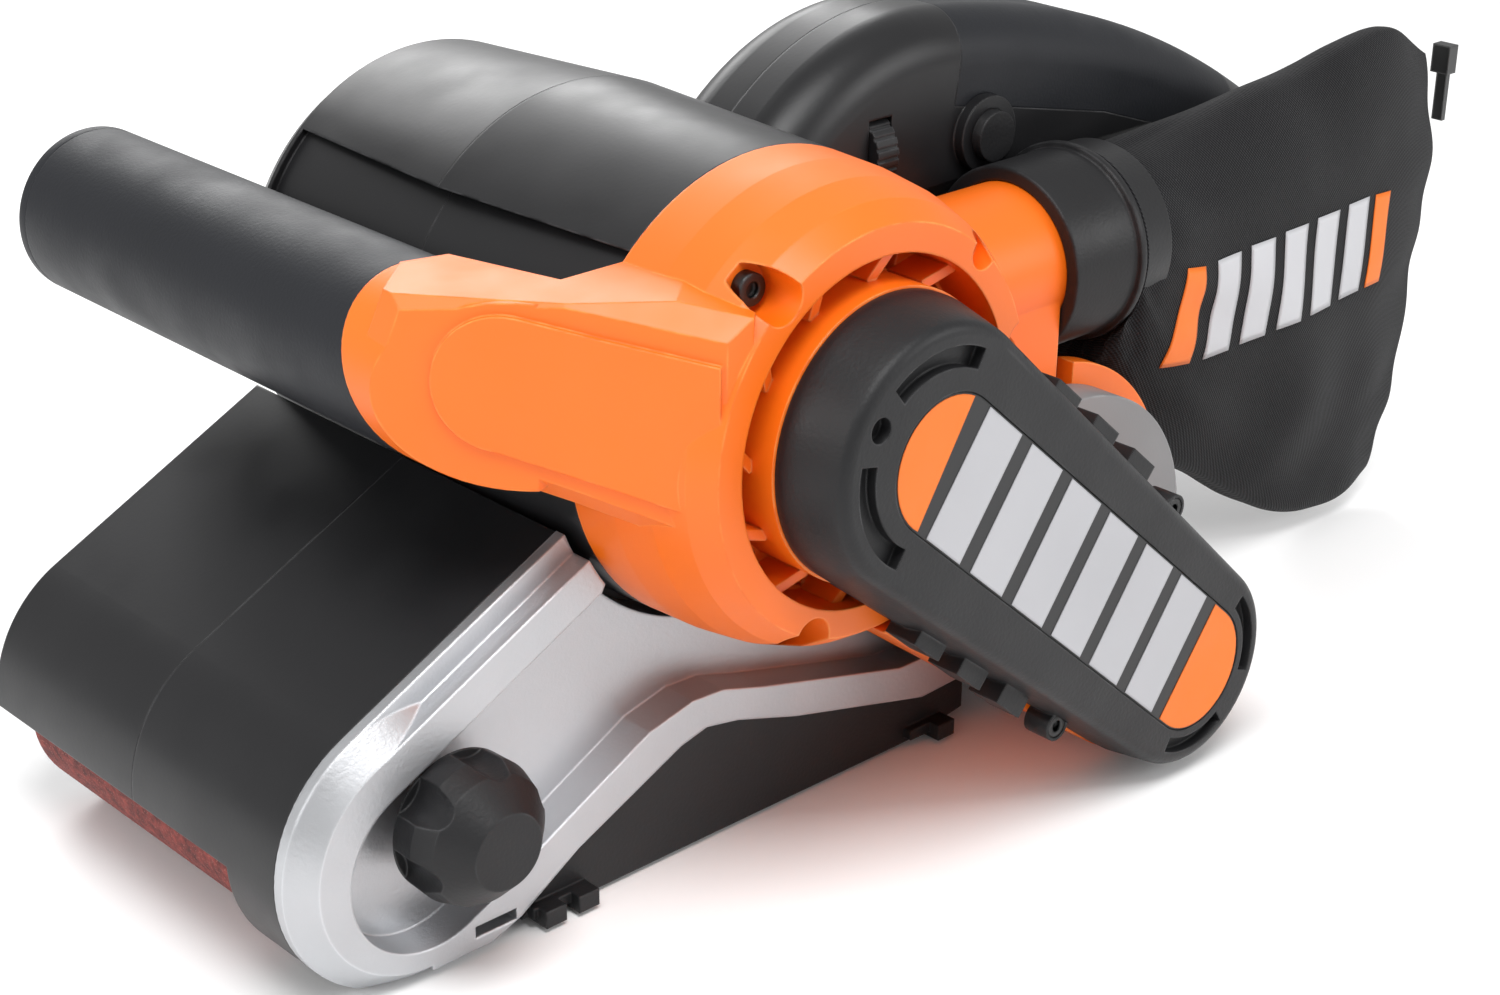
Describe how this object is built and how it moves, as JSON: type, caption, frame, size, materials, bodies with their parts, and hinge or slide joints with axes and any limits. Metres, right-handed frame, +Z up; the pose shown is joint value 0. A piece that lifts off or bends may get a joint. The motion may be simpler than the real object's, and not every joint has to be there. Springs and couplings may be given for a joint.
{
  "type": "handheld belt sander",
  "caption": "Handheld belt sander with a transverse motor, a front cross handle, a closed rear handle, a side toothed-belt drive and a fabric dust bag.",
  "frame": {"origin": "middle of the sole, on the sanding belt's lower face, midway between the two drums", "axes": "+Z up, +X towards the rear handle, -Y the side with the drive cover, +Y the belt-change side"},
  "size_m": [0.3545, 0.1825, 0.144],
  "materials": {
    "abrasive_belt": "coarse grit on cloth",
    "aluminium_roller": "turned",
    "bearing_steel": "ground",
    "ground_steel": "ground",
    "drum_rubber": "ribbed",
    "belt_rubber": "satin",
    "lamination": "lacquered",
    "copper": "enamelled",
    "fan_plastic": "moulded",
    "holder_brass": "stamped",
    "carbon": "sintered",
    "orange_plastic": "fine satin",
    "black_plastic": "fine grain",
    "inlay_film": "printed film",
    "black_screws": "blackened",
    "cast_alloy": "sand blasted",
    "spring_steel": "rolled",
    "graphite_pad": "graphite cloth",
    "pressed_steel": "zinc",
    "satin_black_plastic": "satin",
    "grip_rubber": "soft touch",
    "grey_plastic": "moulded",
    "bag_fabric": "twill",
    "zip_metal": "blackened"
  },
  "bodies": {
    "base": {"sanding_belt": "abrasive_belt", "drum_bearings": "bearing_steel", "timing_belt": "belt_rubber", "motor_bearings": "bearing_steel", "field_stator": "lamination", "field_coils": "copper", "brush_holders": "holder_brass", "carbon_brushes": "carbon", "motor_end_housing": "orange_plastic", "dust_duct": "orange_plastic", "drive_cover": "black_plastic", "drive_cover_inlay": "inlay_film", "drive_cover_screws": "black_screws", "housing_screws": "black_screws", "side_frame": "cast_alloy", "platen_frame": "cast_alloy", "drum_yoke": "cast_alloy", "lower_side_wall": "black_plastic", "sole_plate": "spring_steel", "platen_pad": "graphite_pad", "tension_spring": "ground_steel", "lever_pin": "ground_steel", "front_belt_cover_left": "satin_black_plastic", "front_belt_cover_right": "satin_black_plastic", "main_housing_left": "satin_black_plastic", "main_housing_right": "satin_black_plastic", "front_handle_core": "black_plastic", "front_handle_grip": "grip_rubber", "front_handle_end_cap": "grip_rubber", "rear_handle_left": "satin_black_plastic", "rear_handle_right": "satin_black_plastic", "rear_handle_grip": "grip_rubber", "trigger_pin": "ground_steel", "switch_module": "fan_plastic", "cord_gland": "belt_rubber", "rear_side_cover": "grey_plastic", "rear_belt_guard": "black_plastic"},
    "rotor": {"motor_shaft": "ground_steel", "motor_pinion": "ground_steel", "armature_core": "lamination", "armature_windings": "copper", "commutator": "copper", "cooling_fan": "fan_plastic"},
    "drum": {"drive_drum": "aluminium_roller", "drum_sleeve": "drum_rubber", "drive_axle": "ground_steel", "driven_pulley": "aluminium_roller"},
    "carriage": {"roller_carriage": "pressed_steel", "front_roller_axle": "ground_steel"},
    "roller": {"front_roller": "aluminium_roller", "roller_bearings": "bearing_steel"},
    "lever": {"tension_lever": "pressed_steel"},
    "knob": {"tracking_knob": "black_plastic", "tracking_screw": "ground_steel"},
    "trigger": {"trigger": "black_plastic"},
    "lock_button": {"lock_button": "black_plastic"},
    "speed_dial": {"speed_dial": "black_plastic"},
    "bag": {"bag_collar": "black_plastic", "dust_bag": "bag_fabric", "zip_slider": "zip_metal"}
  },
  "joints": [
    {"name": "motor_spin", "type": "hinge", "parent": "base", "child": "rotor", "pos_m": [0.0014, 0, 0.094], "axis": [0, 1, 0], "continuous": true},
    {"name": "drum_spin", "type": "hinge", "parent": "base", "child": "drum", "pos_m": [0.0804, 0, 0.02205], "axis": [0, 1, 0], "continuous": true},
    {"name": "belt_tension", "type": "slide", "parent": "base", "child": "carriage", "axis": [1, 0, 0], "range_m": [0, 0.005], "stiffness_N_per_m": 400, "springref_m": -0.01, "deforming": ["tension_spring"]},
    {"name": "roller_spin", "type": "hinge", "parent": "carriage", "child": "roller", "pos_m": [-0.0804, 0, 0.02205], "axis": [0, 1, 0], "continuous": true},
    {"name": "tension_lever_turn", "type": "hinge", "parent": "base", "child": "lever", "pos_m": [-0.038, 0.034, 0.022], "axis": [0, 0, 1], "range_deg": [0, 70]},
    {"name": "tracking_turn", "type": "hinge", "parent": "base", "child": "knob", "pos_m": [-0.073, -0.06, 0.0305], "axis": [0, 1, 0], "range_deg": [-180, 180]},
    {"name": "trigger_press", "type": "hinge", "parent": "base", "child": "trigger", "pos_m": [0.11, -0.008, 0.103], "axis": [0, 1, 0], "range_deg": [-7, 0], "stiffness_Nm_per_rad": 0.5, "springref_deg": 11.46},
    {"name": "lock_press", "type": "slide", "parent": "base", "child": "lock_button", "axis": [0, 1, 0], "range_m": [0, 0.003], "stiffness_N_per_m": 300, "springref_m": -0.003},
    {"name": "speed_turn", "type": "hinge", "parent": "base", "child": "speed_dial", "pos_m": [0.0675, -0.02, 0.1175], "axis": [1, 0, 0], "range_deg": [0, 270]},
    {"name": "bag_pull", "type": "slide", "parent": "base", "child": "bag", "axis": [1, 0, 0], "range_m": [0, 0.035]}
  ],
  "couplings": [
    {"joint": "drum_spin", "follows": "motor_spin", "ratio": 0.33333},
    {"joint": "roller_spin", "follows": "motor_spin", "ratio": 0.33333},
    {"joint": "tension_lever_turn", "follows": "belt_tension", "rad_per_m": 244.35}
  ]
}
